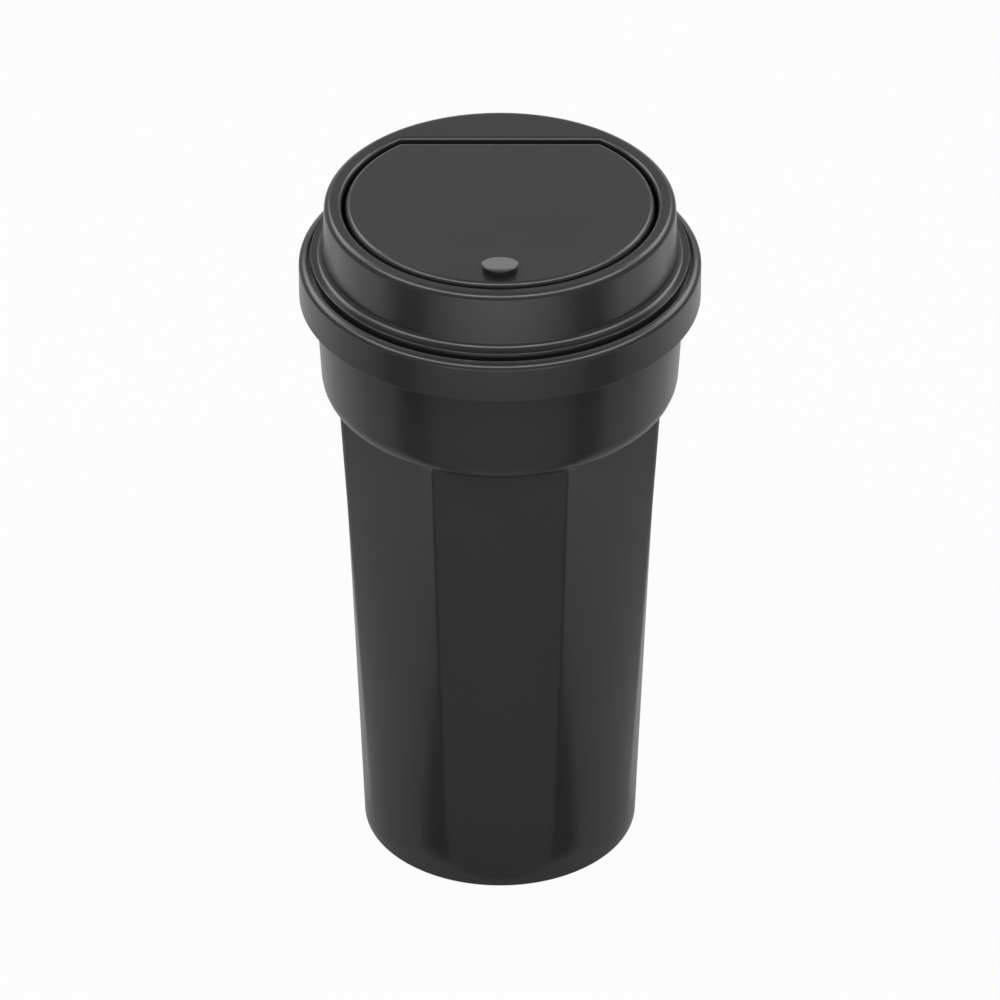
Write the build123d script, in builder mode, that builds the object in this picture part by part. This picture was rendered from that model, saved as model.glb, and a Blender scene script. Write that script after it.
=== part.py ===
from build123d import *
from math import cos, radians, sin, tan
import os

# Car trash bin in the form of a lidded take-away cup, in millimetres.
# The origin is the centre of the foot on the table, +Z is up, and the press dot is towards -Y.

# Cup: round at the foot, eight-sided at the top of the grip
base_radius = 33.65
base_edge = 0.5
base_ring = 5.0
base_recess = 1.2
floor_thickness = 2.2
wall = 2.0
grip_sides = 8
grip_height = 126.8
grip_draft = 2.055

# Shoulder and beaded rim
ledge_width = 4.5
shoulder_height = 33.4
shoulder_draft = 3.165
shoulder_edge = 4.2
bead_height = 3.2
bead_proud = 1.15
bead_edge = 0.8

# Lid: collar over the rim, plug inside it, raised wall and top plate
lid_clearance = 0.3
collar_wall = 2.0
collar_height = 10.3
collar_edge = 1.4
collar_lower_edge = 0.3
collar_lead_in = 0.6
annulus_thickness = 2.0
annulus_width = 5.5
foot_ring_proud = 1.3
foot_ring_height = 1.5
foot_ring_edge = 0.7
plug_depth = 4.5
lid_rise = 15.2
lid_draft = 2.9
lid_edge = 1.7
lid_wall = 1.8
top_plate = 2.0

# Mouth: a disc set a little forward and cut straight at the rear
mouth_land = 4.18
mouth_shift = 0.5
mouth_rear_land = 13.08
mouth_corner = 1.0
mouth_edge = 1.0

# Flap, which stands a little proud at the front, with its slanted press dot, ribs and stops
flap_gap = 0.8
flap_shift = 0.85
flap_rear_gap = 1.75
flap_plate = 2.0
flap_tilt = 0.6
flap_edge = 0.85
dot_radius = 4.6
dot_height = 1.25
dot_tilt = 12.0
dot_edge = 0.4
dot_setback = 7.25
rib_width = 1.4
rib_depth = 1.2
lip_clearance = 0.6
lip_width = 5.0
lip_thickness = 1.4
lip_depth = 19.0
open_angle = 65.0
heel_reach = 5.0
stop_gap = 0.1

# Hinge: a steel pin snapped up into two clips under the top plate
pin_radius = 1.0
pin_setback = 0.9
pin_overhang = 1.0
pin_chamfer = 0.25
clip_clearance = 0.02
knuckle_clearance = 0.06
knuckle_wall = 2.0
knuckle_gap = 0.4
knuckle_inside = 9.0
knuckle_width = 6.0
clip_gap = 0.4
clip_width = 4.0
clip_mouth_share = 0.9
clip_web_setback = 0.4
clip_web_length = 6.5

# Torsion spring on the pin, with one leg under the top plate and one under the flap
wire_radius = 0.4
coil_clearance = 0.5
coil_turns = 4
coil_gap = 0.1
leg_angle = 8.0

# Heights that follow from these
floor_top = base_recess + floor_thickness
ledge_top = grip_height + wall
rim_top = grip_height + shoulder_height
bead_bottom = rim_top - bead_height
collar_top = rim_top + annulus_thickness
collar_bottom = collar_top - collar_height
foot_ring_top = collar_top + foot_ring_height
lid_top = collar_top + lid_rise
plate_under = lid_top - top_plate
flap_under = lid_top - flap_plate
flap_middle = lid_top - flap_plate / 2


def cup_radius(height):
    """Distance of the middle of the cup's sides from its axis at a height."""
    return base_radius + height * tan(radians(grip_draft))


def shoulder_radius(height):
    """Outer radius of the shoulder at a height."""
    rise = height - grip_height
    return cup_radius(grip_height) + ledge_width + rise * tan(radians(shoulder_draft))


def lid_radius(height):
    """Outer radius of the lid's raised wall at a height."""
    return lid_foot_radius - (height - collar_top) * tan(radians(lid_draft))


# Radii that follow from these
bead_radius = shoulder_radius(rim_top) + bead_proud
collar_inside = bead_radius + lid_clearance
collar_radius = collar_inside + collar_wall
lid_foot_radius = collar_radius - annulus_width
foot_ring_radius = lid_foot_radius + foot_ring_proud
lid_inside = lid_foot_radius - lid_wall
lid_top_inside = lid_radius(plate_under) - lid_wall
plug_bottom = rim_top - plug_depth
plug_radius = shoulder_radius(plug_bottom) - wall - lid_clearance

# Mouth, flap and hinge places
mouth_radius = lid_radius(lid_top) - mouth_land
mouth_rear = lid_radius(lid_top) - mouth_rear_land
flap_radius = mouth_radius - flap_gap
flap_rear = mouth_rear - flap_rear_gap
lip_radius = lid_top_inside - flap_shift - lip_clearance
dot_y = dot_setback - flap_shift - flap_radius
dot_middle = lid_top + (flap_rear - dot_y) * tan(radians(flap_tilt)) + dot_height
knuckle_radius = pin_radius + knuckle_wall
pin_drop = knuckle_radius + knuckle_gap
pin_y = flap_rear - pin_setback
pin_z = flap_under - pin_drop
plate_drop = plate_under - pin_z
knuckle_x = knuckle_inside + knuckle_width / 2
clip_x = knuckle_inside + knuckle_width + clip_gap + clip_width / 2
pin_half = clip_x + clip_width / 2 + pin_overhang
coil_radius = pin_radius + coil_clearance + wire_radius
coil_pitch = 2 * wire_radius + coil_gap
coil_height = coil_pitch * (coil_turns - 2 * leg_angle / 360)


def turned(*corners, mode=Mode.ADD):
    """Turns a closed half section about Z, each corner given as radius, height and rounding."""
    points = [corner[:2] for corner in corners]
    roundings = [corner[2] for corner in corners]
    with BuildSketch(Plane.XZ) as section:
        with BuildLine():
            FilletPolyline(points, radius=roundings, close=True)
        make_face()
    revolve(section.sketch, axis=Axis.Z, mode=mode)


def cup_form(inset, bottom, top):
    """The cup moved in by inset: a circle at the foot lofted to flat sides at the grip's top."""
    side_angle = 360 / grip_sides
    with BuildPart() as form:
        with BuildSketch(Plane.XY.offset(bottom)):
            with BuildLine():
                for side in range(grip_sides):
                    CenterArc((0, 0), cup_radius(bottom) - inset, (side + 0.5) * side_angle, side_angle)
            make_face()
        with BuildSketch(Plane.XY.offset(grip_height)) as grip:
            RegularPolygon(
                cup_radius(grip_height) - inset,
                grip_sides,
                major_radius=False,
                rotation=side_angle / 2,
            )
        loft()
        extrude(grip.sketch, amount=top - grip_height)
    return form.part


def d_outline(sketch, shift, radius, rear):
    """Draws a disc set forward by shift in the open sketch, cut straight at the rear."""
    with Locations((0, -shift)):
        Circle(radius)
    with Locations((0, rear)):
        Rectangle(3 * radius, 3 * radius, align=(Align.CENTER, Align.MAX), mode=Mode.INTERSECT)
    fillet(sketch.vertices(), mouth_corner)


def slanted(point, angle):
    """A plane through a point that rises towards the front."""
    return Plane(point, x_dir=(1, 0, 0), z_dir=(0, sin(radians(angle)), cos(radians(angle))))


# Cup
outside = cup_form(0, 0, grip_height + shoulder_edge)
inside = cup_form(wall, floor_top, ledge_top)

with BuildPart() as bin_body:
    add(outside)
    turned(
        (0, grip_height, 0),
        (shoulder_radius(grip_height), grip_height, shoulder_edge),
        (shoulder_radius(bead_bottom), bead_bottom, 0),
        (bead_radius, bead_bottom, bead_edge),
        (bead_radius, rim_top, bead_edge),
        (0, rim_top, 0),
    )
    add(inside, mode=Mode.SUBTRACT)
    turned(
        (0, ledge_top, 0),
        (shoulder_radius(ledge_top) - wall, ledge_top, max(shoulder_edge - wall, 0)),
        (shoulder_radius(rim_top) - wall, rim_top, 0),
        (0, rim_top, 0),
        mode=Mode.SUBTRACT,
    )
    base_circles = bin_body.edges().filter_by(GeomType.CIRCLE).group_by(Axis.Z)[0]
    fillet(base_circles, base_edge)
    turned(
        (0, 0, 0),
        (base_radius - base_ring, 0, 0),
        (base_radius - base_ring - base_recess, base_recess, 0),
        (0, base_recess, 0),
        mode=Mode.SUBTRACT,
    )

# Lid
with BuildPart() as lid_shell:
    turned(
        (0, lid_top, 0),
        (lid_radius(lid_top), lid_top, lid_edge),
        (lid_radius(foot_ring_top), foot_ring_top, 0),
        (foot_ring_radius, foot_ring_top, foot_ring_edge),
        (foot_ring_radius, collar_top, 0),
        (collar_radius, collar_top, collar_edge),
        (collar_radius, collar_bottom, collar_lower_edge),
        (collar_inside + collar_lead_in, collar_bottom, 0),
        (collar_inside, collar_bottom + collar_lead_in, 0),
        (collar_inside, rim_top, 0),
        (plug_radius, rim_top, 0),
        (plug_radius, plug_bottom, 0),
        (lid_inside, plug_bottom, 0),
        (lid_inside, collar_top, 0),
        (lid_top_inside, plate_under, 0),
        (0, plate_under, 0),
    )
    with BuildSketch(Plane.XY.offset(lid_top)) as mouth:
        d_outline(mouth, mouth_shift, mouth_radius, mouth_rear)
    extrude(amount=-top_plate, mode=Mode.SUBTRACT)
    mouth_edges = lid_shell.faces().sort_by(Axis.Z)[-1].inner_wires()[0].edges()
    fillet(mouth_edges, mouth_edge)
    web_front = mouth_rear + clip_web_setback
    for side in (-1, 1):
        with BuildSketch(Plane.YZ.offset(side * clip_x)):
            with Locations((pin_y, pin_z)):
                Circle(knuckle_radius)
            with BuildLine():
                Polyline(
                    (pin_y, pin_z),
                    (web_front, plate_under),
                    (web_front + clip_web_length, plate_under),
                    (pin_y + knuckle_radius * cos(radians(45)), pin_z - knuckle_radius * sin(radians(45))),
                    close=True,
                )
            make_face()
            with Locations((pin_y, pin_z)):
                Circle(pin_radius + clip_clearance, mode=Mode.SUBTRACT)
                Rectangle(
                    2 * clip_mouth_share * pin_radius,
                    2 * knuckle_radius,
                    align=(Align.CENTER, Align.MAX),
                    mode=Mode.SUBTRACT,
                )
        extrude(amount=clip_width / 2, both=True)

# Press dot, highest at the front
with BuildPart() as press_dot:
    with BuildSketch(Plane.XY.offset(flap_middle)):
        with Locations((0, dot_y)):
            Circle(dot_radius)
    extrude(amount=dot_middle + dot_radius - flap_middle)
    split(bisect_by=slanted((0, dot_y, dot_middle), dot_tilt), keep=Keep.BOTTOM)
    fillet(press_dot.faces().sort_by(Axis.Z)[-1].edges(), dot_edge)

# Flap
with BuildPart() as flap:
    with BuildSketch(Plane.XY.offset(flap_under)) as plate:
        d_outline(plate, flap_shift, flap_radius, flap_rear)
    extrude(amount=2 * flap_plate)
    split(bisect_by=slanted((0, flap_rear, lid_top), flap_tilt), keep=Keep.BOTTOM)
    fillet(flap.faces().sort_by(Axis.Z)[-1].edges(), flap_edge)
    add(press_dot.part)

    # Closed stop: a lip that reaches under the front of the mouth's edge
    lip_inside = flap_radius - lip_width
    for radius, top in ((lip_radius, plate_under), (flap_radius, flap_middle)):
        with BuildSketch(Plane.XY.offset(plate_under - lip_thickness)):
            with Locations((0, -flap_shift)):
                Circle(radius)
                Circle(lip_inside, mode=Mode.SUBTRACT)
            with Locations((0, lip_depth - flap_shift - lip_radius)):
                Rectangle(
                    3 * lip_radius,
                    3 * lip_radius,
                    align=(Align.CENTER, Align.MAX),
                    mode=Mode.INTERSECT,
                )
        extrude(amount=top - plate_under + lip_thickness)

    # Hinge knuckles, each with a rib that runs forward and a heel that stops the open flap
    rib_front = -flap_shift - lip_inside
    for side in (-1, 1):
        with BuildSketch(Plane.YZ.offset(side * knuckle_x)):
            with BuildLine():
                Polyline(
                    (pin_y, pin_z - knuckle_radius),
                    (pin_y, flap_middle),
                    (rib_front, flap_middle),
                    (rib_front, flap_under - rib_depth),
                    close=True,
                )
            make_face()
        extrude(amount=rib_width / 2, both=True)
        with BuildSketch(Plane.YZ.offset(side * knuckle_x)):
            with Locations((pin_y, pin_z)):
                Circle(knuckle_radius)
            with Locations((flap_rear, pin_z)):
                Rectangle(
                    pin_setback + knuckle_radius,
                    flap_middle - pin_z,
                    align=(Align.MAX, Align.MIN),
                )
            with Locations(Location((pin_y, pin_z, 0), (0, 0, -open_angle))):
                Rectangle(heel_reach, plate_drop - stop_gap, align=(Align.MIN, Align.MIN))
        extrude(amount=knuckle_width / 2, both=True)
        with BuildSketch(Plane.YZ.offset(side * knuckle_x)):
            with Locations((pin_y, pin_z)):
                Circle(pin_radius + knuckle_clearance)
        extrude(amount=knuckle_width / 2, both=True, mode=Mode.SUBTRACT)

# Hinge pin
with BuildPart() as hinge_pin:
    with BuildSketch(Plane.YZ):
        with Locations((pin_y, pin_z)):
            Circle(pin_radius)
    extrude(amount=pin_half, both=True)
    chamfer(hinge_pin.edges().filter_by(GeomType.CIRCLE), pin_chamfer)

# Flap spring: the coil starts and ends at the top, then turns so that both legs rise to their plates
coil_outside = (coil_radius + wire_radius) * cos(radians(leg_angle))
rear_leg = (plate_drop - coil_outside) / sin(radians(leg_angle))
front_leg = (pin_drop - coil_outside) / sin(radians(leg_angle))

with BuildPart() as flap_spring:
    with BuildLine() as wire_path:
        coil = Helix(coil_pitch, coil_height, coil_radius, (-coil_height / 2, pin_y, pin_z), (1, 0, 0))
        Line(coil @ 0 - rear_leg * (coil % 0), coil @ 0)
        Line(coil @ 1, coil @ 1 + front_leg * (coil % 1))
    with BuildSketch(Plane(coil @ 0 - rear_leg * (coil % 0), z_dir=coil % 0)):
        Circle(wire_radius)
    sweep(path=wire_path.wire())

pin_axis = Axis((0, pin_y, pin_z), (1, 0, 0))
spring_turned = flap_spring.part.rotate(pin_axis, leg_angle)

# One file for each piece
pieces = {
    "bin_body": bin_body.part,
    "lid_shell": lid_shell.part,
    "flap": flap.part,
    "hinge_pin": hinge_pin.part,
    "flap_spring": spring_turned,
}
os.makedirs("parts", exist_ok=True)
for name, piece in pieces.items():
    piece.label = name
    export_step(piece, f"parts/{name}.step")
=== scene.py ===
from math import atan2, cos, pi, radians, sin, sqrt, tan

import bmesh
import bpy
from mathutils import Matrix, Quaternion, Vector


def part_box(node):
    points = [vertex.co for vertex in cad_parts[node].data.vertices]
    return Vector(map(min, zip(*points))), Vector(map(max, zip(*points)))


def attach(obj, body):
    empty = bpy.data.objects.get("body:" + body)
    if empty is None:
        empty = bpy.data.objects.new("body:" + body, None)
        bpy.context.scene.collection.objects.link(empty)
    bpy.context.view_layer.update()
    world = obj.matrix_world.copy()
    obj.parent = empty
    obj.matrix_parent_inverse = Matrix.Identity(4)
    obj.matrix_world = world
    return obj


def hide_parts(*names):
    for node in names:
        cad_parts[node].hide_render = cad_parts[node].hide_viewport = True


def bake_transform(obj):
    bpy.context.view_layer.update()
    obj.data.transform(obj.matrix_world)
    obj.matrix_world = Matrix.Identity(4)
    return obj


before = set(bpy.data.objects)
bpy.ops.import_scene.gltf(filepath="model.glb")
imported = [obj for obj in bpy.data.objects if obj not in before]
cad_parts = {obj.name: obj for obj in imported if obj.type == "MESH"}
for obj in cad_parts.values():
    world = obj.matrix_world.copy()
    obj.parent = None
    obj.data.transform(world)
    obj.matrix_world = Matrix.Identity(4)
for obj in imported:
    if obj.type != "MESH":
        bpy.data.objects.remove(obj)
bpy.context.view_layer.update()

MM = 0.001

# Sizes and places that the frame gives, in metres
bin_low, bin_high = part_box("bin_body")
lid_low, lid_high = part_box("lid_shell")
pin_low, pin_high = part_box("hinge_pin")
bead_radius = -bin_low.x
rim_top = bin_high.z
collar_radius = -lid_low.x
collar_bottom = lid_low.z
lid_top = lid_high.z
flap_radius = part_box("flap")[1].x
pin_middle = (pin_low + pin_high) / 2
pin_radius = (pin_high.z - pin_low.z) / 2
pin_half = pin_high.x

# Cup
base_radius = 33.65 * MM
base_edge = 0.5 * MM
base_ring = 5.0 * MM
base_recess = 1.2 * MM
floor_top = 3.4 * MM
floor_corner = 2.5 * MM
wall = 2.0 * MM
cup_sides = 8
grip_height = 126.8 * MM
grip_slope = tan(radians(2.055))
ledge_width = 4.5 * MM
shoulder_edge = 4.2 * MM
shoulder_bottom = grip_height - 3.0 * MM
shoulder_blend = 7.2 * MM
shoulder_slope = tan(radians(3.165))
bead_height = 3.2 * MM
bead_edge = 0.8 * MM

# Collar, with a small lip round its top and a groove between that lip and the lid's foot ring
collar_top = rim_top + 2.0 * MM
collar_wall = 2.0 * MM
collar_drop = 0.7 * MM
collar_edge = 1.4 * MM
collar_lower_edge = 0.3 * MM
collar_lead_in = 0.6 * MM
lip_inside = collar_radius - 2.05 * MM
lip_outside = collar_radius - 1.62 * MM
lip_edge = 0.2 * MM
lip_step = 0.12 * MM
lip_foot = 0.3 * MM
groove_floor = rim_top + 0.8 * MM
foot_ring_radius = collar_radius - 2.8 * MM
foot_ring_top = collar_top + 1.3 * MM
foot_ring_edge = 0.25 * MM
foot_fillet = 1.5 * MM

# Lid above the collar, and the plug that goes into the cup's rim
lid_foot_radius = collar_radius - 5.5 * MM
lid_slope = tan(radians(2.9))
lid_edge = 1.7 * MM
lid_wall = 1.8 * MM
plate = 2.0 * MM
plate_strip = 0.1 * MM
plug_bottom = rim_top - 4.5 * MM
plug_clearance = 0.3 * MM

# Mouth and flap
mouth_gap = 0.8 * MM
mouth_rear_gap = 1.75 * MM
mouth_shift = 0.5 * MM
mouth_corner = 1.0 * MM
mouth_edge = 1.0 * MM
flap_overhang = 0.9 * MM
flap_shift = 0.85 * MM
flap_corner = 1.5 * MM
flap_edge = 1.3 * MM
flap_tilt = radians(0.6)
dot_radius = 4.6 * MM
dot_height = 1.25 * MM
dot_tilt = radians(12)
dot_edge = 0.6 * MM
dot_setback = 7.25 * MM
stop_clearance = 0.6 * MM
stop_width = 5.0 * MM
stop_thickness = 1.4 * MM
stop_depth = 19.0 * MM
rib_width = 1.4 * MM
rib_depth = 1.2 * MM

# Hinge
knuckle_radius = 3.0 * MM
knuckle_middle = 12.0 * MM
knuckle_width = 6.0 * MM
knuckle_bore = pin_radius + 0.06 * MM
open_angle = radians(65)
heel_reach = 5.0 * MM
heel_gap = 0.1 * MM
clip_middle = 17.4 * MM
clip_width = 4.0 * MM
clip_bore = pin_radius + 0.02 * MM
clip_mouth = 1.8 * MM
clip_slant = radians(45)
web_setback = 0.4 * MM
web_length = 6.5 * MM
pin_chamfer = 0.25 * MM

# Spring
wire_radius = 0.4 * MM
coil_radius = 1.9 * MM
coil_turns = 4
coil_pitch = 0.9 * MM
leg_angle = radians(8)

# How a rod is turned
lying = (0, pi / 2, 0)
standing = (0, 0, 0)

# How finely round shapes are divided
turn_steps = 256
disc_steps = turn_steps * 3 // 4
arc_steps = 7
side_steps = 32
cup_rows = 64
edge_steps = 5
base_edge_steps = 3
chamfer_steps = 2
rod_steps = 64
dot_steps = 96
pin_steps = 48
wire_steps = 16
coil_steps = 48

# Corners past these angles stay sharp
cup_sharp = radians(50)
lid_sharp = radians(35)
flap_sharp = radians(35)
pin_sharp = radians(30)
spring_sharp = radians(40)

# Vertices this near are one, and joined pieces sink this far into each other
merge_distance = 0.002 * MM
sink = 0.6 * MM

# Camera and floor, in metres, with the lens and its sensor in millimetres
camera_elevation = radians(34.02)
camera_distance = 1.92
camera_aim = Vector((0, 0, 0.092))
camera_lens = 284.3
camera_sensor = 36
floor_size = 8
floor_drop = 0.2 * MM

# Soft boxes, in metres, and the watts that a square metre of one has at a brightness of 1
box_size = (0.85, 0.55)
low_box_size = (0.42, 0.10)
back_box_size = (1.0, 0.25)
rear_box_size = (1.0, 0.55)
box_distance = 1.6
box_aim = Vector((0, 0, 0.1))
box_watts = 4

# Cards on the floor: corners in X and Y on the right-hand side and reaches from the axis, in metres,
# and azimuths in degrees from the front
card_foot_front = (0.016, -0.036)
card_foot_corner = (0.027, -0.031)
card_foot_side = (0.036, 0)
front_card_side = (0.24, -0.19)
front_card_end = (0.16, -0.305)
dark_card_end = (0.32, -0.31)
grey_card_front = (0.41, -0.175)
grey_card_rear = (0.42, 0.03)
far_card_reaches = (0.345, 0.52)
far_card_azimuths = (-38, -19, 0, 19, 38)
far_side_card_reaches = (0.295, 0.5)
far_side_card_azimuths = (74, 100, 128)
collar_card_reaches = (0.25, 0.292)
collar_card_azimuths = (68, 82, 98)
card_lift = 0.3 * MM

# Values that follow from these
plate_under = lid_top - plate
flap_middle = lid_top - plate / 2
flap_rear = pin_middle.y + flap_overhang
mouth_radius = flap_radius + mouth_gap
mouth_rear = flap_rear + mouth_rear_gap
dot_y = dot_setback - flap_shift - flap_radius
coil_angle = 2 * pi * coil_turns - 2 * leg_angle
coil_height = coil_pitch * coil_angle / (2 * pi)


def cup_radius(height):
    """Distance of the middle of the cup's sides from its axis at a height."""
    return base_radius + height * grip_slope


def shoulder_radius(height):
    """Outer radius of the shoulder at a height."""
    return cup_radius(grip_height) + ledge_width + (height - grip_height) * shoulder_slope


def lid_radius(height):
    """Outer radius of the lid's raised wall at a height."""
    return lid_foot_radius - (height - collar_top) * lid_slope


def pick(piece):
    """Makes a piece the only one that is selected, and the active one."""
    bpy.ops.object.select_all(action="DESELECT")
    piece.select_set(True)
    bpy.context.view_layer.objects.active = piece


def settle(name):
    """Names the piece in hand and puts its place into its mesh."""
    piece = bpy.context.object
    piece.name = name
    bpy.ops.object.transform_apply(location=True, rotation=True, scale=True)
    return piece


def open_piece(piece):
    """Opens a piece in edit mode with nothing selected."""
    pick(piece)
    bpy.ops.object.mode_set(mode="EDIT")
    bpy.ops.mesh.select_all(action="DESELECT")


def close_piece():
    """Goes back to object mode with the outside of the piece facing out."""
    bpy.ops.mesh.select_all(action="SELECT")
    bpy.ops.mesh.normals_make_consistent(inside=False)
    bpy.ops.object.mode_set(mode="OBJECT")


def merge_doubles():
    """Merges the vertices of the open piece that lie on each other."""
    bpy.ops.mesh.select_all(action="SELECT")
    bpy.ops.mesh.remove_doubles(threshold=merge_distance)


def push(along):
    """Extrudes what is selected in a straight line."""
    bpy.ops.mesh.extrude_region_move(TRANSFORM_OT_translate={"value": along})


def select(piece, kind, chosen):
    """Selects the edges or faces of the open piece that chosen says."""
    bpy.ops.mesh.select_mode(type=kind)
    bpy.ops.mesh.select_all(action="DESELECT")
    mesh = bmesh.from_edit_mesh(piece.data)
    elements = {"EDGE": mesh.edges, "FACE": mesh.faces}[kind]
    for element in elements:
        element.select_set(chosen(element))
    mesh.select_flush_mode()
    bmesh.update_edit_mesh(piece.data)


def level(*heights):
    """Picks the edges that lie at one of the heights."""
    return lambda edge: any(
        all(abs(v.co.z - height) < merge_distance for v in edge.verts) for height in heights)


def rounded(corners):
    """Points of a line in the XZ plane through corners given as across, up and rounding."""
    points = [Vector((across, 0, up)) for across, up, rounding in corners]
    line = []
    for index, here in enumerate(points):
        rounding = corners[index][2]
        if not rounding:
            line.append(here)
            continue
        back = (points[index - 1] - here).normalized()
        ahead = (points[(index + 1) % len(points)] - here).normalized()
        half = back.angle(ahead) / 2
        centre = here + (back + ahead).normalized() * (rounding / sin(half))
        spoke = here + back * (rounding / tan(half)) - centre
        for step in range(arc_steps + 1):
            turn = Quaternion(ahead.cross(back), (pi - 2 * half) * step / arc_steps)
            line.append(centre + turn @ spoke)
    return line


def draw(name, points, closed):
    """Starts a piece as a line of vertices through the points, and leaves it open."""
    bpy.ops.object.select_all(action="DESELECT")
    bpy.ops.mesh.primitive_plane_add(size=MM)
    piece = bpy.context.object
    piece.name = name
    bpy.ops.object.mode_set(mode="EDIT")
    bpy.ops.mesh.select_mode(type="VERT")
    bpy.ops.mesh.select_all(action="SELECT")
    bpy.ops.mesh.merge(type="CENTER")
    bpy.ops.transform.translate(value=points[0])
    for start, end in zip(points, points[1:]):
        bpy.ops.mesh.extrude_vertices_move(TRANSFORM_OT_translate={"value": end - start})
    if closed:
        mesh = bmesh.from_edit_mesh(piece.data)
        mesh.verts.ensure_lookup_table()
        mesh.verts[0].select_set(True)
        bmesh.update_edit_mesh(piece.data)
        bpy.ops.mesh.edge_face_add()
    return piece


def spin_round():
    """Turns the open piece's line about the bin's axis into a surface."""
    bpy.ops.mesh.select_all(action="SELECT")
    bpy.ops.mesh.spin(steps=turn_steps, angle=2 * pi, center=(0, 0, 0), axis=(0, 0, 1))
    merge_doubles()


def turned(name, corners, closed=False):
    """A piece turned about the bin's axis from its half section."""
    piece = draw(name, rounded(corners), closed)
    spin_round()
    close_piece()
    return piece


def flat(name, outline):
    """Starts a piece as one flat face inside its outline, and leaves it open."""
    piece = draw(name, outline, closed=True)
    bpy.ops.mesh.select_all(action="SELECT")
    bpy.ops.mesh.edge_face_add()
    return piece


def prism(name, outline, along):
    """A piece pushed out straight from its outline."""
    piece = flat(name, outline)
    push(along)
    close_piece()
    return piece


def slab(name, width, side_view):
    """A piece of a width along X about the bin's middle, pushed out from its side view in Y and Z."""
    return prism(name, [Vector((-width / 2, y, z)) for y, z in side_view], (width, 0, 0))


def rod(name, radius, middle, length, steps=rod_steps, turn=lying):
    """A round bar, along X unless it is turned another way."""
    bpy.ops.object.select_all(action="DESELECT")
    bpy.ops.mesh.primitive_cylinder_add(
        vertices=steps, radius=radius, depth=length, location=middle, rotation=turn
    )
    return settle(name)


def copy_along_x(piece, name, distance):
    """A copy of a piece with its own mesh, moved along X."""
    pick(piece)
    bpy.ops.object.duplicate()
    bpy.ops.transform.translate(value=(distance, 0, 0))
    return settle(name)


def join(pieces):
    """Makes the pieces one object, under the first one's name."""
    bpy.ops.object.select_all(action="DESELECT")
    for piece in pieces:
        piece.select_set(True)
    bpy.context.view_layer.objects.active = pieces[0]
    bpy.ops.object.join()
    return pieces[0]


def combine(piece, other, operation):
    """Joins another piece to this one or cuts it away, and takes the other off the bench."""
    pick(piece)
    bpy.ops.object.modifier_add(type="BOOLEAN")
    change = piece.modifiers[-1]
    change.operation = operation
    change.solver = "EXACT"
    change.object = other
    bpy.ops.object.modifier_apply(modifier=change.name)
    bpy.data.objects.remove(other)
    open_piece(piece)
    merge_doubles()
    bpy.ops.mesh.dissolve_degenerate(threshold=merge_distance)
    close_piece()


def combine_pair(piece, other, name, distance):
    """Joins two copies of another piece to this one, one on each side of the bin's middle."""
    for side in (-1, 1):
        combine(piece, copy_along_x(other, name, side * distance), "UNION")
    bpy.data.objects.remove(other)


def slant_top(piece, point, tilt, edge_size):
    """Cuts a piece off along a plane that rises towards the front, and rounds the new edge."""
    across = Vector((0, sin(tilt), cos(tilt)))
    open_piece(piece)
    bpy.ops.mesh.select_all(action="SELECT")
    bpy.ops.mesh.bisect(
        plane_co=point, plane_no=across, threshold=merge_distance, use_fill=True, clear_outer=True
    )
    select(piece, "EDGE", lambda edge: all(
        abs((v.co - point).dot(across)) < merge_distance for v in edge.verts))
    bpy.ops.mesh.bevel(offset=edge_size, segments=edge_steps)
    close_piece()


def finish_surface(piece, sharp_angle):
    """Smooth shading that keeps flat faces flat and corners past the angle sharp."""
    pick(piece)
    bpy.ops.object.shade_smooth_by_angle(angle=sharp_angle)
    bpy.ops.object.modifier_add(type="WEIGHTED_NORMAL")
    weighting = piece.modifiers[-1]
    weighting.keep_sharp = True
    bpy.ops.object.modifier_apply(modifier=weighting.name)


def octagon_loft(name, inset, bottom, top):
    """The cup moved in by inset: a circle at the foot bridged to flat sides at the grip's top."""
    half_side = pi / cup_sides
    bpy.ops.object.select_all(action="DESELECT")
    bpy.ops.mesh.primitive_circle_add(
        vertices=cup_sides * side_steps,
        radius=cup_radius(bottom) - inset,
        location=(0, 0, bottom),
        rotation=(0, 0, half_side),
    )
    piece = settle(name)
    open_piece(piece)
    bpy.ops.mesh.primitive_circle_add(
        vertices=cup_sides,
        radius=(cup_radius(grip_height) - inset) / cos(half_side),
        location=(0, 0, grip_height),
        rotation=(0, 0, half_side),
    )
    bpy.ops.mesh.subdivide(number_cuts=side_steps - 1)
    bpy.ops.mesh.select_all(action="SELECT")
    bpy.ops.mesh.bridge_edge_loops(number_cuts=cup_rows, interpolation="LINEAR")
    select(piece, "EDGE", level(bottom))
    bpy.ops.mesh.edge_face_add()
    select(piece, "EDGE", level(grip_height))
    push((0, 0, top - grip_height))
    bpy.ops.mesh.edge_face_add()
    close_piece()
    return piece


def make_base(cup):
    """Recesses the cup's base, so that it stands on a ring, and rounds the ring's outer edge."""
    open_piece(cup)
    select(cup, "FACE", lambda face: face.calc_center_median().z < merge_distance)
    bpy.ops.mesh.inset(thickness=base_ring)
    push((0, 0, base_recess))
    recess_share = 1 - base_recess / (base_radius - base_ring)
    bpy.ops.transform.resize(value=(recess_share, recess_share, 1), center_override=(0, 0, 0))
    ring_middle = base_radius - base_ring / 2
    select(cup, "EDGE", lambda edge: level(0)(edge) and all(
        v.co.length > ring_middle for v in edge.verts))
    bpy.ops.mesh.bevel(offset=base_edge, segments=base_edge_steps)
    close_piece()


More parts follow.
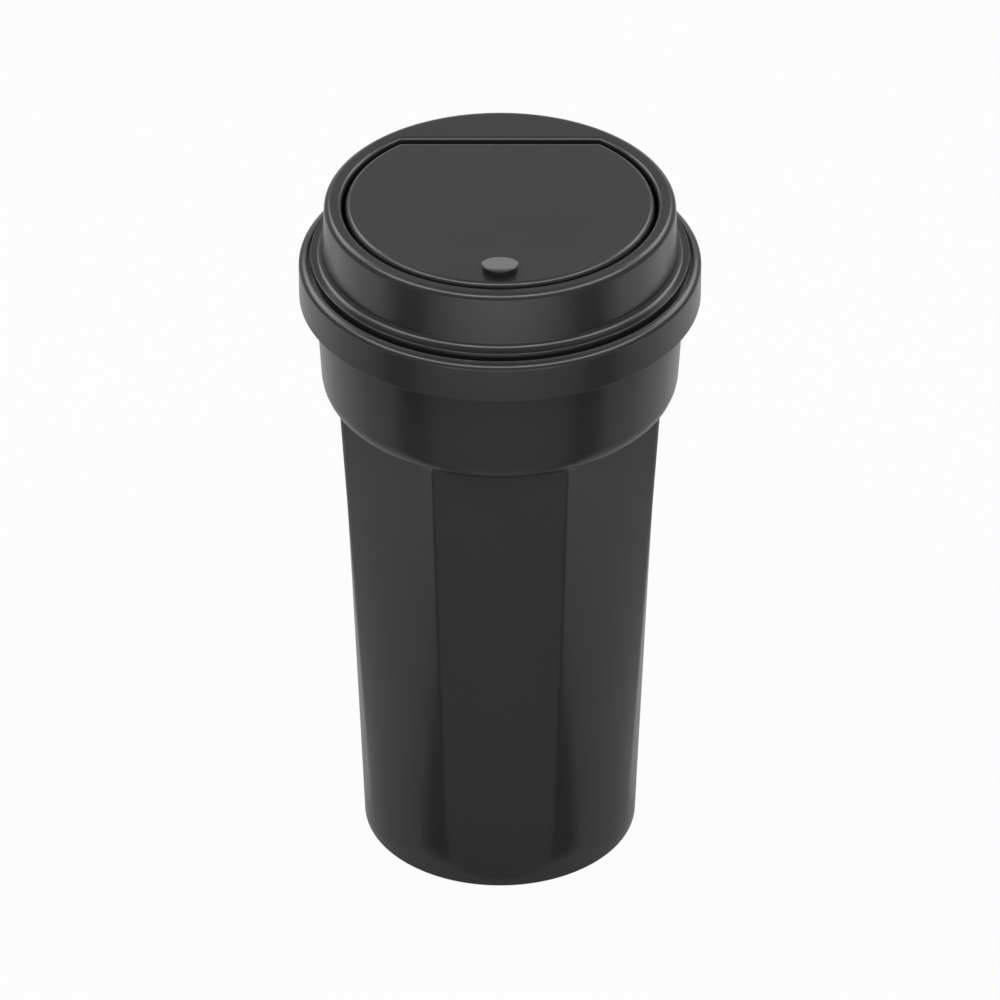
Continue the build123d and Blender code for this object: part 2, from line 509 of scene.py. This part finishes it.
def make_hollow():
    """The cup's inside, with a rounded floor and the wider room within the shoulder."""
    ledge_top = grip_height + wall
    hollow_top = rim_top + wall
    hollow = octagon_loft("hollow", wall, floor_top, ledge_top + wall)
    open_piece(hollow)
    select(hollow, "EDGE", level(floor_top))
    bpy.ops.mesh.bevel(offset=floor_corner, segments=edge_steps)
    close_piece()
    shoulder_hollow = turned("shoulder_hollow", [
        (0, ledge_top, 0),
        (shoulder_radius(ledge_top) - wall, ledge_top, shoulder_edge - wall),
        (shoulder_radius(hollow_top) - wall, hollow_top, 0),
        (0, hollow_top, 0),
    ])
    combine(hollow, shoulder_hollow, "UNION")
    return hollow


def make_cup():
    """The moulded cup with its recessed base, shoulder and beaded rim."""
    cup = octagon_loft("cup", 0, 0, grip_height + shoulder_edge)
    make_base(cup)
    bead_bottom = rim_top - bead_height
    shoulder = turned("shoulder", [
        (0, shoulder_bottom, 0),
        (shoulder_radius(shoulder_bottom), shoulder_bottom, shoulder_blend),
        (shoulder_radius(bead_bottom), bead_bottom, 0),
        (bead_radius, bead_bottom, bead_edge),
        (bead_radius, rim_top, bead_edge),
        (0, rim_top, 0),
    ])
    combine(cup, shoulder, "UNION")
    combine(cup, make_hollow(), "DIFFERENCE")
    finish_surface(cup, cup_sharp)
    return cup


def d_line(shift, radius, rear, corner, height):
    """Points round a disc set forward by shift, cut straight at the rear with two rounded corners."""
    corner_y = rear - corner
    reach = radius - corner
    corner_x = sqrt(reach**2 - (corner_y + shift) ** 2)
    meet = atan2(corner_y + shift, corner_x)
    arcs = [
        (corner_x, corner_y, corner, pi / 2, meet, arc_steps),
        (0, -shift, radius, meet, -pi - meet, disc_steps),
        (-corner_x, corner_y, corner, pi - meet, pi / 2, arc_steps),
    ]
    line = []
    for centre_x, centre_y, size, start, end, steps in arcs:
        for step in range(steps + 1):
            angle = start + (end - start) * step / steps
            point = Vector((centre_x + size * cos(angle), centre_y + size * sin(angle), height))
            if not line or (point - line[-1]).length > merge_distance:
                line.append(point)
    return line


def make_mouth():
    """The wall of the lid's mouth, which flares out into the rounding at the top."""
    rows = [(0, plate_under)]
    for step in range(arc_steps + 1):
        turn = pi / 2 * step / arc_steps
        rows.append((mouth_edge * (1 - cos(turn)), lid_top - mouth_edge * (1 - sin(turn))))
    loops = []
    for grow, height in rows:
        line = d_line(mouth_shift, mouth_radius + grow, mouth_rear + grow, mouth_corner + grow, height)
        loops.append(draw("mouth", line, closed=True))
        bpy.ops.object.mode_set(mode="OBJECT")
    mouth = join(loops)
    open_piece(mouth)
    heights = [height for grow, height in rows]
    for low, high in zip(heights, heights[1:]):
        select(mouth, "EDGE", level(low, high))
        bpy.ops.mesh.bridge_edge_loops()
    bpy.ops.object.mode_set(mode="OBJECT")
    return mouth


def make_clip():
    """One of the lid's two clips, open downwards, that the hinge pin snaps up into."""
    clip = rod("clip", knuckle_radius, pin_middle, clip_width)
    web_front = mouth_rear + web_setback
    web_rear = web_front + web_length
    slant = knuckle_radius * sin(clip_slant)
    web = slab("clip_web", clip_width, [
        (pin_middle.y, pin_middle.z),
        (web_front, plate_under),
        (web_front, plate_under + sink),
        (web_rear, plate_under + sink),
        (web_rear, plate_under),
        (pin_middle.y + slant, pin_middle.z - slant),
    ])
    combine(clip, web, "UNION")
    combine(clip, rod("clip_bore", clip_bore, pin_middle, 2 * clip_width), "DIFFERENCE")
    slot_bottom = pin_middle.z - 2 * knuckle_radius
    slot_front = pin_middle.y - clip_mouth / 2
    slot_rear = pin_middle.y + clip_mouth / 2
    slot = slab("clip_slot", 2 * clip_width, [
        (slot_front, slot_bottom),
        (slot_rear, slot_bottom),
        (slot_rear, pin_middle.z),
        (slot_front, pin_middle.z),
    ])
    combine(clip, slot, "DIFFERENCE")
    return clip


def make_lid():
    """The moulded lid: collar, plug, foot ring, raised wall, top plate with its mouth, and clips."""
    collar_inside = collar_radius - collar_wall
    plug_radius = shoulder_radius(plug_bottom) - wall - plug_clearance
    lid_inside = lid_foot_radius - lid_wall
    shell_line = rounded([
        (lid_radius(lid_top) - lid_edge - plate_strip, lid_top, 0),
        (lid_radius(lid_top), lid_top, lid_edge),
        (lid_radius(foot_ring_top), foot_ring_top, foot_fillet),
        (foot_ring_radius, foot_ring_top, foot_ring_edge),
        (foot_ring_radius, groove_floor, 0),
        (lip_inside, groove_floor, 0),
        (lip_inside, collar_top, lip_edge),
        (lip_outside, collar_top, lip_edge),
        (lip_outside + lip_step, collar_top - lip_foot, lip_step),
        (collar_radius, collar_top - collar_drop, collar_edge),
        (collar_radius, collar_bottom, collar_lower_edge),
        (collar_inside + collar_lead_in, collar_bottom, 0),
        (collar_inside, collar_bottom + collar_lead_in, 0),
        (collar_inside, rim_top, 0),
        (plug_radius, rim_top, 0),
        (plug_radius, plug_bottom, 0),
        (lid_inside, plug_bottom, 0),
        (lid_inside, collar_top, 0),
        (lid_radius(plate_under) - lid_wall, plate_under, 0),
    ])
    shell = draw("lid", shell_line, closed=False)
    spin_round()
    bpy.ops.object.mode_set(mode="OBJECT")
    lid = join([shell, make_mouth()])
    open_piece(lid)
    for height in (lid_top, plate_under):
        select(lid, "EDGE", lambda edge: level(height)(edge) and edge.is_boundary)
        bpy.ops.mesh.fill(use_beauty=True)
    close_piece()
    combine_pair(lid, make_clip(), "lid_clip", clip_middle)
    finish_surface(lid, lid_sharp)
    return lid


def make_knuckle():
    """One hinge knuckle of the flap, with its web, its rib and the heel that stops the open flap."""
    knuckle = rod("knuckle", knuckle_radius, pin_middle, knuckle_width)
    web_front = pin_middle.y - knuckle_radius
    web = slab("knuckle_web", knuckle_width, [
        (web_front, pin_middle.z),
        (flap_rear, pin_middle.z),
        (flap_rear, plate_under + sink),
        (web_front, plate_under + sink),
    ])
    combine(knuckle, web, "UNION")
    foot = pin_middle.yz
    back = heel_reach * Vector((cos(open_angle), -sin(open_angle)))
    rise = (plate_under - pin_middle.z - heel_gap) * Vector((sin(open_angle), cos(open_angle)))
    heel = slab("knuckle_heel", knuckle_width, [foot, foot + back, foot + back + rise, foot + rise])
    combine(knuckle, heel, "UNION")
    rib_front = stop_width - flap_shift - flap_radius
    rib = slab("knuckle_rib", rib_width, [
        (pin_middle.y, pin_middle.z - knuckle_radius),
        (pin_middle.y, flap_middle),
        (rib_front, flap_middle),
        (rib_front, plate_under - rib_depth),
    ])
    combine(knuckle, rib, "UNION")
    combine(knuckle, rod("knuckle_bore", knuckle_bore, pin_middle, 2 * knuckle_width), "DIFFERENCE")
    return knuckle


def make_dot():
    """The press dot, a short post with a slanted top."""
    dot_middle = lid_top + (flap_rear - dot_y) * tan(flap_tilt) + dot_height
    dot_length = dot_middle + dot_radius - flap_middle
    post_middle = (0, dot_y, flap_middle + dot_length / 2)
    dot = rod("press_dot", dot_radius, post_middle, dot_length, steps=dot_steps, turn=standing)
    slant_top(dot, Vector((0, dot_y, dot_middle)), dot_tilt, dot_edge)
    return dot


def make_stop():
    """The lip under the flap's front edge that meets the lid's plate and stops the closed flap."""
    stop_under = plate_under - stop_thickness
    stop_inside = flap_radius - stop_width
    stop_outside = lid_radius(plate_under) - lid_wall - flap_shift - stop_clearance
    stop = turned("stop_lip", [
        (stop_inside, stop_under, 0),
        (stop_outside, stop_under, 0),
        (stop_outside, plate_under, 0),
        (flap_radius - sink, plate_under, 0),
        (flap_radius - sink, plate_under + sink, 0),
        (stop_inside, plate_under + sink, 0),
    ], closed=True)
    open_piece(stop)
    bpy.ops.mesh.select_all(action="SELECT")
    bpy.ops.transform.translate(value=(0, -flap_shift, 0))
    bpy.ops.mesh.bisect(
        plane_co=(0, stop_depth - flap_shift - stop_outside, 0),
        plane_no=(0, 1, 0),
        threshold=merge_distance,
        use_fill=True,
        clear_outer=True,
    )
    close_piece()
    return stop


def make_flap():
    """The moulded D-shaped flap with its press dot, stop lip and hinge knuckles."""
    outline = d_line(flap_shift, flap_radius, flap_rear, flap_corner, plate_under)
    flap = prism("flap_panel", outline, (0, 0, 2 * plate))
    slant_top(flap, Vector((0, flap_rear, lid_top)), flap_tilt, flap_edge)
    combine(flap, make_dot(), "UNION")
    combine(flap, make_stop(), "UNION")
    combine_pair(flap, make_knuckle(), "flap_knuckle", knuckle_middle)
    finish_surface(flap, flap_sharp)
    return flap


def make_pin():
    """The steel hinge pin with chamfered ends."""
    pin = rod("pin", pin_radius, pin_middle, 2 * pin_half, steps=pin_steps)
    open_piece(pin)
    select(pin, "EDGE", lambda edge: abs(edge.verts[0].co.x + edge.verts[1].co.x) > pin_half)
    bpy.ops.mesh.bevel(offset=pin_chamfer, segments=chamfer_steps)
    close_piece()
    finish_surface(pin, pin_sharp)
    return pin


def make_spring():
    """The torsion spring: a coil round the pin, one leg under the top plate and one under the flap."""
    start = pi / 2 + leg_angle
    bpy.ops.object.select_all(action="DESELECT")
    bpy.ops.mesh.primitive_circle_add(
        vertices=wire_steps,
        radius=wire_radius,
        location=(-coil_height / 2, coil_radius * cos(start), coil_radius * sin(start)),
        rotation=(start, 0, 0),
    )
    spring = settle("coil_spring")
    bpy.ops.object.modifier_add(type="SCREW")
    winding = spring.modifiers[-1]
    winding.axis = "X"
    winding.angle = coil_angle
    winding.screw_offset = coil_height
    winding.steps = coil_steps * coil_turns
    winding.render_steps = winding.steps
    bpy.ops.object.modifier_apply(modifier=winding.name)
    coil_outside = (coil_radius + wire_radius) * cos(leg_angle)
    leg = (plate_under - pin_middle.z - coil_outside) / sin(leg_angle)
    open_piece(spring)
    for side, angle in ((-1, start), (1, start + coil_angle)):
        hub = Vector((side * coil_height / 2, coil_radius * cos(angle), coil_radius * sin(angle)))
        along = Vector((0, -sin(angle), cos(angle))) * side
        select(spring, "EDGE", lambda edge: edge.is_boundary
               and (edge.verts[0].co - hub).length < 2 * wire_radius)
        push(along * leg)
        bpy.ops.mesh.edge_face_add()
    close_piece()
    bpy.ops.transform.translate(value=(0, pin_middle.y, pin_middle.z))
    settle(spring.name)
    finish_surface(spring, spring_sharp)
    return spring


class Flow:
    """A value on its way through a material's nodes. Arithmetic on it adds Math nodes."""

    def __init__(self, tree, socket=None):
        self.tree = tree
        self.socket = socket

    def node(self, kind, settings=None, inputs=None, output=0):
        """Adds a node with its settings and the values or links of its sockets."""
        made = self.tree.nodes.new(kind)
        for name, value in (settings or {}).items():
            setattr(made, name, value)
        for name, value in (inputs or {}).items():
            if isinstance(value, Flow):
                self.tree.links.new(value.socket, made.inputs[name])
            else:
                made.inputs[name].default_value = value
        if not made.outputs:
            return None
        return Flow(self.tree, made.outputs[output])

    def math(self, operation, first, second):
        """Adds a Math node."""
        return self.node("ShaderNodeMath", {"operation": operation}, {0: first, 1: second})

    def __add__(self, other):
        return self.math("ADD", self, other)

    def __radd__(self, other):
        return self.math("ADD", other, self)

    def __sub__(self, other):
        return self.math("SUBTRACT", self, other)

    def __rsub__(self, other):
        return self.math("SUBTRACT", other, self)

    def __mul__(self, other):
        return self.math("MULTIPLY", self, other)

    def __rmul__(self, other):
        return self.math("MULTIPLY", other, self)

    def mixed(self, first, second):
        """One colour turning into another as this value goes from 0 to 1."""
        return self.node(
            "ShaderNodeMix", {"data_type": "RGBA"}, {0: self, 6: first, 7: second}, output=2
        )


def new_material(name):
    """A material with an empty node tree, as the start of a flow."""
    material = bpy.data.materials.new(name)
    material.use_nodes = True
    material.node_tree.nodes.clear()
    return material, Flow(material.node_tree)


def grey(shade):
    """An even grey of a shade from 0, black, to 1, white."""
    return (shade, shade, shade, 1)


def black_plastic():
    """Satin black moulded plastic: a fine spark-eroded grain and faint clouding from handling."""
    material, flow = new_material("satin_black_plastic")
    place = flow.node("ShaderNodeTexCoord", output="Object")
    grain = flow.node("ShaderNodeTexNoise", {}, {
        "Vector": place,
        "Scale": 2600,
        "Detail": 3,
        "Roughness": 0.6,
    })
    clouds = flow.node("ShaderNodeTexNoise", {}, {
        "Vector": place,
        "Scale": 55,
        "Detail": 4,
        "Roughness": 0.55,
    })
    bump = flow.node("ShaderNodeBump", {}, {"Strength": 0.25, "Distance": 0.03 * MM, "Height": grain})
    shader = flow.node("ShaderNodeBsdfPrincipled", {}, {
        "Base Color": clouds.mixed(grey(0.010), grey(0.014)),
        "Roughness": 0.20 + 0.05 * clouds + 0.04 * grain,
        "Normal": bump,
        "IOR": 1.5,
    })
    flow.node("ShaderNodeOutputMaterial", {}, {"Surface": shader})
    return material


def drawn_steel():
    """Bright drawn steel wire with fine draw lines along X and a little tarnish."""
    material, flow = new_material("drawn_steel_wire")
    place = flow.node("ShaderNodeTexCoord", output="Object")
    along = flow.node("ShaderNodeMapping", {}, {"Vector": place, "Scale": (0.05, 1, 1)})
    lines = flow.node("ShaderNodeTexNoise", {}, {"Vector": along, "Scale": 9000, "Detail": 2})
    tarnish = flow.node("ShaderNodeTexNoise", {}, {"Vector": place, "Scale": 300, "Detail": 3})
    bump = flow.node("ShaderNodeBump", {}, {"Strength": 0.2, "Distance": 0.01 * MM, "Height": lines})
    shader = flow.node("ShaderNodeBsdfPrincipled", {}, {
        "Base Color": tarnish.mixed(grey(0.50), (0.64, 0.64, 0.65, 1)),
        "Metallic": 1.0,
        "Roughness": 0.22 + 0.16 * tarnish,
        "Normal": bump,
    })
    flow.node("ShaderNodeOutputMaterial", {}, {"Surface": shader})
    return material


def ray_kinds(flow):
    """Whether a ray comes from the camera, from a mirror or through glass, each as 0 or 1."""
    kinds = ("Is Camera Ray", "Is Glossy Ray", "Is Transmission Ray")
    return [flow.node("ShaderNodeLightPath", output=kind) for kind in kinds]


def white_paper():
    """White paper that the camera sees as white, still darkened by the object's shadow."""
    material, flow = new_material("floor_white")
    seen, glossy, clear = ray_kinds(flow)
    paper = flow.node("ShaderNodeBsdfDiffuse", {}, {"Color": grey(0.5)})
    white = flow.node("ShaderNodeEmission", {}, {"Color": grey(1), "Strength": 1.0})
    share = 0.95 * seen + 0.1 * glossy + 0.95 * clear
    mixed = flow.node("ShaderNodeMixShader", {}, {0: share, 1: paper, 2: white})
    flow.node("ShaderNodeOutputMaterial", {}, {"Surface": mixed})
    return material


def make_floor():
    """The pale floor that the bin stands on."""
    bpy.ops.object.select_all(action="DESELECT")
    bpy.ops.mesh.primitive_plane_add(size=floor_size, location=(0, 0, -floor_drop))
    floor = bpy.context.object
    floor.name = "studio_floor"
    floor.data.materials.append(white_paper())


def make_world():
    """A world that is white to the camera and through glass, greyer in mirrors and dim as a light."""
    world = bpy.data.worlds.new("studio_world")
    bpy.context.scene.world = world
    world.use_nodes = True
    world.node_tree.nodes.clear()
    flow = Flow(world.node_tree)
    seen, glossy, clear = ray_kinds(flow)
    strength = 0.1 + 0.9 * seen + 0.43 * glossy + 0.9 * clear
    back = flow.node("ShaderNodeBackground", {}, {"Color": grey(1), "Strength": strength})
    flow.node("ShaderNodeOutputWorld", {}, {"Surface": back})


def floor_card(name, corners, layer, shade):
    """A card lying just off the floor that shows only as a reflection in the plastic."""
    card = flat(name, [Vector((across, along, layer * card_lift)) for across, along in corners])
    close_piece()
    material, flow = new_material(name + "_paper")
    paper = flow.node("ShaderNodeBsdfDiffuse", {}, {"Color": grey(shade)})
    flow.node("ShaderNodeOutputMaterial", {}, {"Surface": paper})
    card.data.materials.clear()
    card.data.materials.append(material)
    card.visible_camera = False
    card.visible_diffuse = False
    card.visible_shadow = False
    card.visible_transmission = False


def mirrored(corners, side):
    """A card's corners on the right-hand side, or for a side of -1 on the left."""
    return [(side * across, along) for across, along in corners]


def floor_place(reach, azimuth):
    """A place on the floor, its azimuth counted from the front."""
    return reach * sin(radians(azimuth)), -reach * cos(radians(azimuth))


def sector(reaches, near_azimuths, far_azimuths):
    """Corners of a card between two reaches from the axis, round the near one and back."""
    near, far = reaches
    corners = [floor_place(near, azimuth) for azimuth in near_azimuths]
    corners += [floor_place(far, azimuth) for azimuth in reversed(far_azimuths)]
    return corners


def make_cards():
    """The cards that give the soft dark and light bands on the cup, the collar and the lid."""
    front_half = [card_foot_front, front_card_side, front_card_end]
    front = front_half + mirrored(front_half, -1)[::-1]
    floor_card("front_card", front, layer=1, shade=0.36)
    far = sector(far_card_reaches, far_card_azimuths, far_card_azimuths[::2])
    floor_card("far_card", far, layer=1, shade=0.66)
    dark = [card_foot_front, card_foot_corner, grey_card_front, dark_card_end]
    middle = [card_foot_corner, card_foot_side, grey_card_rear, grey_card_front]
    far_side = sector(far_side_card_reaches, far_side_card_azimuths, far_side_card_azimuths)
    collar = sector(collar_card_reaches, collar_card_azimuths, collar_card_azimuths)
    for side in (-1, 1):
        floor_card("dark_card", mirrored(dark, side), layer=2, shade=0.16)
        floor_card("grey_card", mirrored(middle, side), layer=1, shade=0.46)
        floor_card("far_side_card", mirrored(far_side, side), layer=3, shade=0.85)
        floor_card("collar_card", mirrored(collar, side), layer=2, shade=0.26)


def light_panel(name, size, azimuth, elevation, brightness, distance=box_distance):
    """A soft box aimed at the bin, its azimuth counted from the front."""
    lamp = bpy.data.lights.new(name, "AREA")
    lamp.shape = "RECTANGLE"
    lamp.size, lamp.size_y = size
    lamp.energy = box_watts * brightness * lamp.size * lamp.size_y
    panel = bpy.data.objects.new(name, lamp)
    across = cos(radians(elevation)) * sin(radians(azimuth))
    along = -cos(radians(elevation)) * cos(radians(azimuth))
    outward = Vector((across, along, sin(radians(elevation))))
    panel.location = box_aim + distance * outward
    panel.rotation_euler = (-outward).to_track_quat("-Z", "Y").to_euler()
    panel.visible_camera = False
    bpy.context.collection.objects.link(panel)


def make_lamps():
    """Soft boxes high on all sides, a low one in front and a dim one behind."""
    light_panel("front_box", box_size, azimuth=0, elevation=60, brightness=3.5)
    light_panel("low_box", low_box_size, azimuth=0, elevation=-4, brightness=1.2, distance=0.34)
    light_panel("back_box", back_box_size, azimuth=180, elevation=10, brightness=0.8, distance=1.3)
    for side in (-1, 1):
        light_panel("front_side_box", box_size, azimuth=side * 45, elevation=57, brightness=3.2)
        light_panel("side_box", box_size, azimuth=side * 88, elevation=52, brightness=3.2)
        light_panel("rear_side_box", rear_box_size, azimuth=side * 138, elevation=39, brightness=2.9)


def make_camera():
    """The camera at the photograph's angle."""
    camera = bpy.data.cameras.new("photo_camera")
    camera.sensor_width = camera_sensor
    camera.lens = camera_lens
    view = bpy.data.objects.new("photo_camera", camera)
    outward = Vector((0, -cos(camera_elevation), sin(camera_elevation)))
    view.location = camera_aim + camera_distance * outward
    view.rotation_euler = (pi / 2 - camera_elevation, 0, 0)
    bpy.context.collection.objects.link(view)
    bpy.context.scene.camera = view
    bpy.context.scene.view_settings.view_transform = "Standard"


def dress(piece, material, node):
    """Gives a piece its material and hides the imported part of the node that it stands for."""
    piece.data.materials.clear()
    piece.data.materials.append(material)
    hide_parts(node)


plastic = black_plastic()
steel = drawn_steel()

mouldings = [
    (make_cup(), "bin", "bin_body"),
    (make_lid(), "lid", "lid_shell"),
    (make_flap(), "flap", "flap"),
]
for moulding, body, node in mouldings:
    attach(moulding, body)
    dress(moulding, plastic, node)

pin = make_pin()
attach(pin, "lid")
dress(pin, steel, "hinge_pin")

spring = make_spring()
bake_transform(spring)
dress(spring, steel, "flap_spring")

make_floor()
make_world()
make_cards()
make_lamps()
make_camera()
